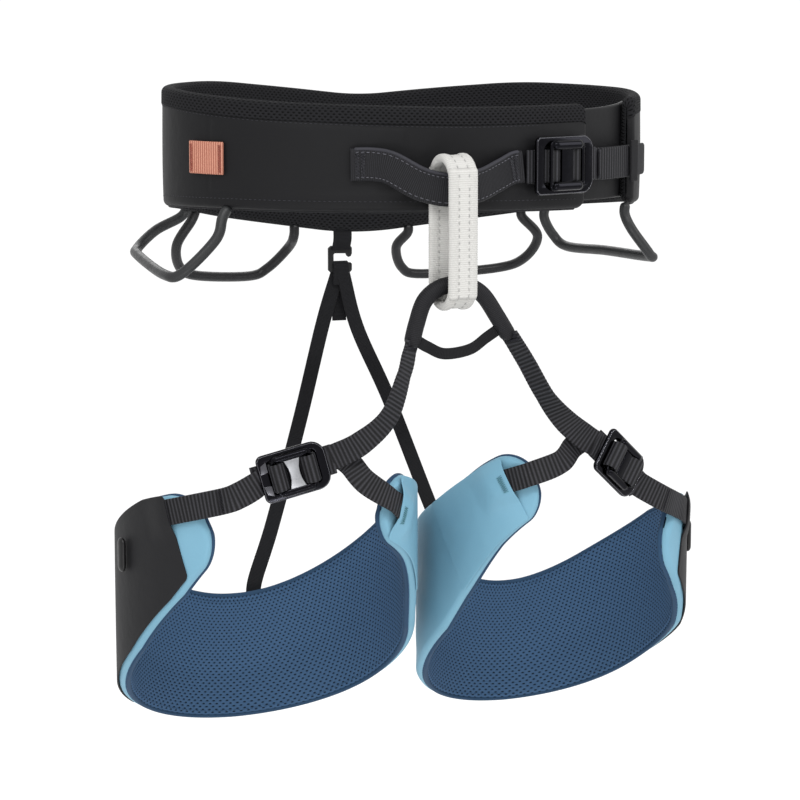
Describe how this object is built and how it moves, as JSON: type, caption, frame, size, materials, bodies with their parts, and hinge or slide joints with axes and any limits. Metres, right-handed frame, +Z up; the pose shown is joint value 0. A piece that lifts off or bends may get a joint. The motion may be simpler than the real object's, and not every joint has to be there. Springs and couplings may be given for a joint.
{
  "type": "climbing harness",
  "caption": "Sport climbing harness with a padded waist belt, tie-in and belay loops, gear loops and two adjustable leg loops.",
  "frame": {"origin": "middle of the waist opening, where the wearer's waist is", "axes": "+Z up, the front of the belt faces -Y, +X towards the waist buckle's tail"},
  "size_m": [0.3857, 0.2679, 0.4276],
  "materials": {
    "spacer_mesh_black": "perforated spacer mesh",
    "foam": "closed-cell foam",
    "stretch_shell_black": "stretch laminate",
    "webbing_black": "woven webbing",
    "webbing_coral": "woven webbing",
    "webbing_white": "woven webbing",
    "elastic_black": "knitted elastic",
    "rubber_black": "moulded",
    "plastic_grey": "moulded, satin",
    "plastic_black": "moulded, satin",
    "buckle_metal": "black anodised, polished",
    "spacer_mesh_blue": "perforated spacer mesh",
    "stretch_shell_blue": "stretch laminate"
  },
  "bodies": {
    "waist": {"waist_mesh_lining": "spacer_mesh_black", "waist_foam": "foam", "waist_shell": "stretch_shell_black", "waist_overlap_tongue": "stretch_shell_black", "upper_tie_in_webbing": "webbing_black", "lower_tie_in_arch": "webbing_black", "tie_in_cross_strap": "webbing_black", "waist_strap_run": "webbing_black", "waist_strap_tail": "webbing_black", "coral_clip_tab": "webbing_coral", "riser_anchor_loop": "elastic_black", "waist_buckle_frame": "buckle_metal"},
    "waist_slider": {"waist_buckle_slider": "buckle_metal"},
    "keeper": {"waist_strap_keeper": "rubber_black"},
    "belay": {"belay_loop": "webbing_white"},
    "riser": {"riser_hook": "plastic_black", "riser_tail": "elastic_black", "riser_strap_left": "elastic_black", "riser_strap_right": "elastic_black"},
    "gear_front_left": {"gear_loop_front_left": "plastic_grey"},
    "gear_front_right": {"gear_loop_front_right": "plastic_grey"},
    "gear_rear_left": {"gear_loop_rear_left": "plastic_black"},
    "gear_rear_right": {"gear_loop_rear_right": "plastic_black"},
    "left_leg": {"leg_lining_left": "spacer_mesh_blue", "leg_foam_left": "foam", "leg_shell_left": "stretch_shell_blue", "leg_cover_left": "stretch_shell_black", "front_webbing_left": "webbing_black", "crotch_strap_left": "webbing_black", "leg_strap_left": "webbing_black", "leg_buckle_left_frame": "buckle_metal"},
    "left_slider": {"leg_buckle_left_slider": "buckle_metal"},
    "left_toggle": {"adjuster_toggle_left": "plastic_black"},
    "right_leg": {"leg_lining_right": "spacer_mesh_blue", "leg_foam_right": "foam", "leg_shell_right": "stretch_shell_blue", "leg_cover_right": "stretch_shell_black", "front_webbing_right": "webbing_black", "crotch_strap_right": "webbing_black", "leg_strap_right": "webbing_black", "leg_buckle_right_frame": "buckle_metal"},
    "right_slider": {"leg_buckle_right_slider": "buckle_metal"},
    "right_toggle": {"adjuster_toggle_right": "plastic_black"}
  },
  "joints": [
    {"name": "belay_loop_turn", "type": "hinge", "parent": "waist", "child": "belay", "pos_m": [-0.008, -0.1275, -0.0345], "axis": [0, 0, 1], "range_deg": [-20, 3]},
    {"name": "left_leg_lift", "type": "hinge", "parent": "waist", "child": "left_leg", "pos_m": [-0.033, -0.123, -0.106], "axis": [1, 0, 0], "range_deg": [0, 20], "deforming": ["riser_strap_left"]},
    {"name": "right_leg_lift", "type": "hinge", "parent": "waist", "child": "right_leg", "pos_m": [0.031, -0.124, -0.103], "axis": [1, 0, 0], "range_deg": [0, 20], "deforming": ["riser_strap_right"]},
    {"name": "riser_hook_release", "type": "slide", "parent": "waist", "child": "riser", "axis": [-1, 0, 0], "range_m": [0, 0.01]},
    {"name": "waist_slider_tilt", "type": "hinge", "parent": "waist", "child": "waist_slider", "pos_m": [0.06108, -0.10847, 0.002], "axis": [0, 0, -1], "range_deg": [0, 20]},
    {"name": "left_slider_tilt", "type": "hinge", "parent": "left_leg", "child": "left_slider", "pos_m": [-0.11848, -0.12221, -0.17926], "axis": [0.2562, -0.0374, -0.9659], "range_deg": [0, 20]},
    {"name": "right_slider_tilt", "type": "hinge", "parent": "right_leg", "child": "right_slider", "pos_m": [0.09657, -0.12919, -0.1752], "axis": [-0.5503, -0.283, -0.7856], "range_deg": [0, 20]},
    {"name": "keeper_slide", "type": "slide", "parent": "waist", "child": "keeper", "axis": [0.7335, 0.6797, 0], "range_m": [-0.005, 0.005]},
    {"name": "left_toggle_slide", "type": "slide", "parent": "left_leg", "child": "left_toggle", "axis": [0, 0, 1], "range_m": [-0.006, 0.006]},
    {"name": "right_toggle_slide", "type": "slide", "parent": "right_leg", "child": "right_toggle", "axis": [0, 0, 1], "range_m": [-0.006, 0.006]},
    {"name": "gear_front_left_flex", "type": "hinge", "parent": "waist", "child": "gear_front_left", "pos_m": [-0.1315, 0.0005, -0.0335], "axis": [0.0088, 0.9968, -0.0794], "range_deg": [-8, 35], "stiffness_Nm_per_rad": 0.15},
    {"name": "gear_front_right_flex", "type": "hinge", "parent": "waist", "child": "gear_front_right", "pos_m": [0.1285, 0.0045, -0.04], "axis": [0.0947, -0.9901, 0.1033], "range_deg": [-8, 35], "stiffness_Nm_per_rad": 0.15},
    {"name": "gear_rear_left_flex", "type": "hinge", "parent": "waist", "child": "gear_rear_left", "pos_m": [-0.0825, 0.0815, -0.049], "axis": [0.899, 0.3983, -0.1821], "range_deg": [-8, 35], "stiffness_Nm_per_rad": 0.15},
    {"name": "gear_rear_right_flex", "type": "hinge", "parent": "waist", "child": "gear_rear_right", "pos_m": [0.0745, 0.0865, -0.0515], "axis": [0.9287, -0.3435, 0.1399], "range_deg": [-8, 35], "stiffness_Nm_per_rad": 0.15}
  ]
}
